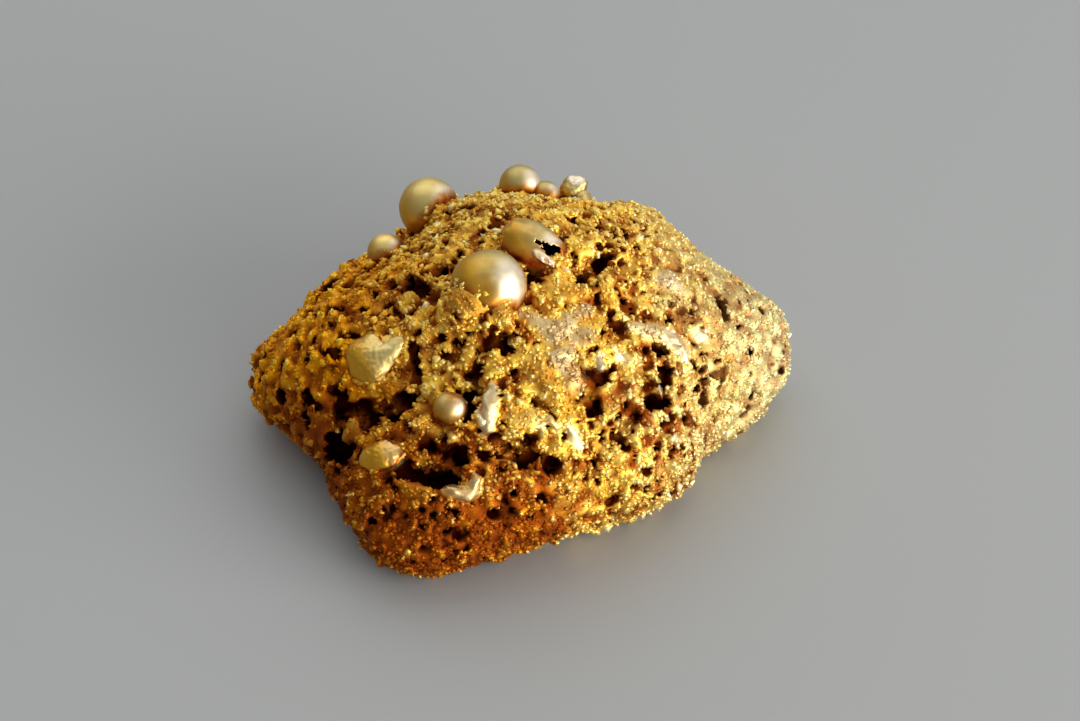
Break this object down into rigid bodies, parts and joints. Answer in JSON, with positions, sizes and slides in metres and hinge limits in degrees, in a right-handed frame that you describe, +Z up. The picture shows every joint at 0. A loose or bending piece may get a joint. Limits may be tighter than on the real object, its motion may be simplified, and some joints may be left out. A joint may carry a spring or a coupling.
{
  "type": "gold nugget",
  "caption": "Domed lump of porous sponge gold with round smooth blisters, pale melted skins and open pits, flat underneath.",
  "frame": {"origin": "under the middle of the nugget's bounding box, on the surface that it rests on", "axes": "+Z up through the crown; +X along the length, towards the blunt right tip; +Y towards the back, which carries the row of small blisters"},
  "size_m": [0.0248, 0.0219, 0.0121],
  "materials": {
    "sponge_gold": "satin"
  },
  "bodies": {
    "root": {"nugget": "sponge_gold"}
  },
  "joints": []
}
